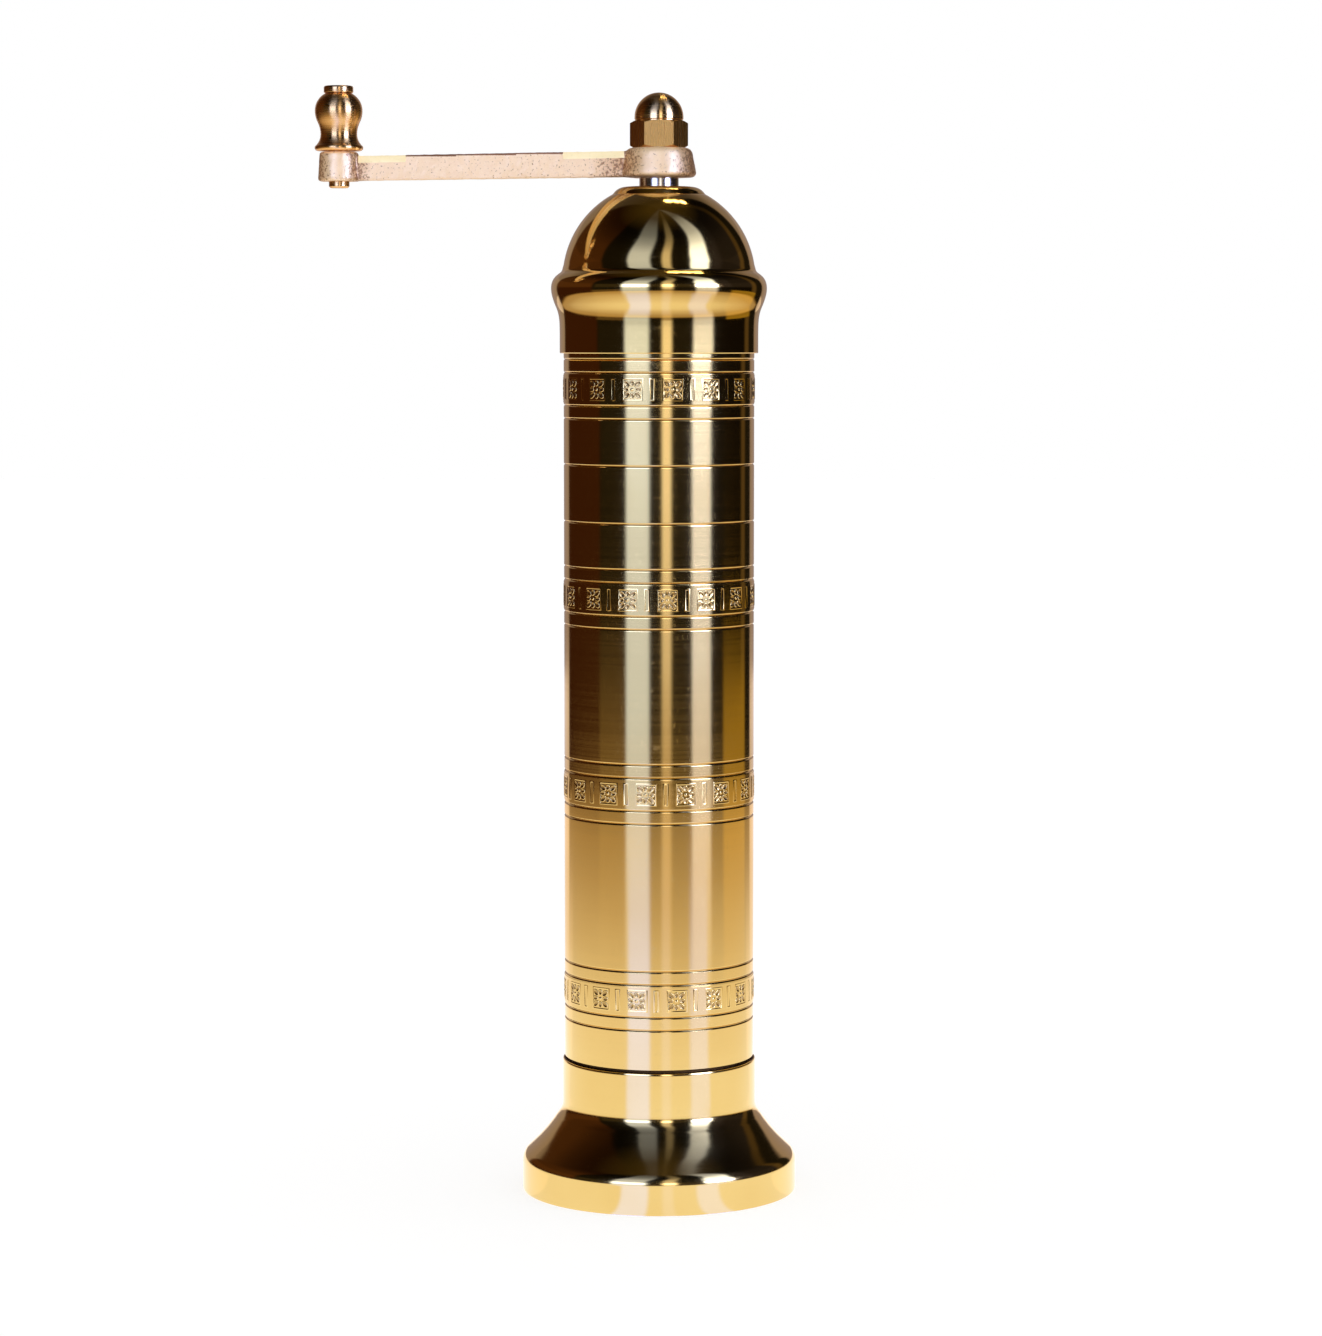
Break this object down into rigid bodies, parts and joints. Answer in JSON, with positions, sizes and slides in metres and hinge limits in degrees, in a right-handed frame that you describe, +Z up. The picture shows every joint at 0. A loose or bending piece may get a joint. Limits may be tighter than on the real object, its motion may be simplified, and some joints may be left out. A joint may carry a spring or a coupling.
{
  "type": "hand mill",
  "caption": "Tall brass hand mill with a flared foot, engraved tube and domed lid; turning the crank grinds between toothed burrs, and the lid lifts off for filling.",
  "frame": {"origin": "middle of the foot's underside, on the shaft's axis, at table height", "axes": "+Z up along the shaft, the crank at rest points to -X, and the face seen in the picture looks to -Y"},
  "size_m": [0.0959, 0.0552, 0.2213],
  "materials": {
    "polished_brass": "polished and lacquered",
    "cast_brass": "sand-cast, left rough",
    "turned_brass": "turned, with fine tool lines",
    "bronze": "plain turned bearing bronze",
    "steel": "bright turned steel",
    "hard_steel": "hardened, dark grey",
    "spring_steel": "drawn wire"
  },
  "bodies": {
    "mill_body": {"base_foot": "polished_brass", "body_tube": "polished_brass", "burr_plate": "cast_brass", "outer_burr": "hard_steel", "burr_screws": "steel", "shaft_guide": "steel", "guide_bush": "bronze"},
    "drive": {"drive_shaft": "steel", "shaft_collar": "steel", "collar_pin": "steel", "thrust_washer": "bronze", "burr_spring": "spring_steel"},
    "lid": {"dome_lid": "polished_brass", "lid_bush": "bronze"},
    "crank": {"crank_arm": "cast_brass", "knob_pin": "turned_brass"},
    "cap": {"cap_nut": "turned_brass"},
    "grip": {"knob": "turned_brass"},
    "burr": {"inner_burr": "hard_steel", "spring_washer": "steel"},
    "adjuster": {"adjusting_nut": "turned_brass"}
  },
  "joints": [
    {"name": "crank_turn", "type": "hinge", "parent": "mill_body", "child": "drive", "pos_m": [0, 0, 0.12], "axis": [0, 0, 1], "continuous": true},
    {"name": "lid_lift", "type": "slide", "parent": "mill_body", "child": "lid", "axis": [0, 0, 1], "range_m": [0, 0.055]},
    {"name": "crank_lift", "type": "slide", "parent": "drive", "child": "crank", "axis": [0, 0, 1], "range_m": [0, 0.0715]},
    {"name": "cap_lift", "type": "slide", "parent": "drive", "child": "cap", "axis": [0, 0, 1], "range_m": [0, 0.088]},
    {"name": "knob_spin", "type": "hinge", "parent": "crank", "child": "grip", "pos_m": [-0.0635, 0, 0.214], "axis": [0, 0, 1], "continuous": true},
    {"name": "burr_shift", "type": "slide", "parent": "drive", "child": "burr", "axis": [0, 0, 1], "range_m": [-0.001, 0.0003], "deforming": ["burr_spring"]},
    {"name": "adjust_turn", "type": "hinge", "parent": "burr", "child": "adjuster", "pos_m": [0, 0, 0.0271], "axis": [0, 0, 1], "range_deg": [-361, 109]}
  ],
  "couplings": [
    {"joint": "crank_lift", "follows": "lid_lift", "ratio": 1.3},
    {"joint": "cap_lift", "follows": "lid_lift", "ratio": 1.6},
    {"joint": "adjust_turn", "follows": "burr_shift", "rad_per_m": 6283.2}
  ]
}
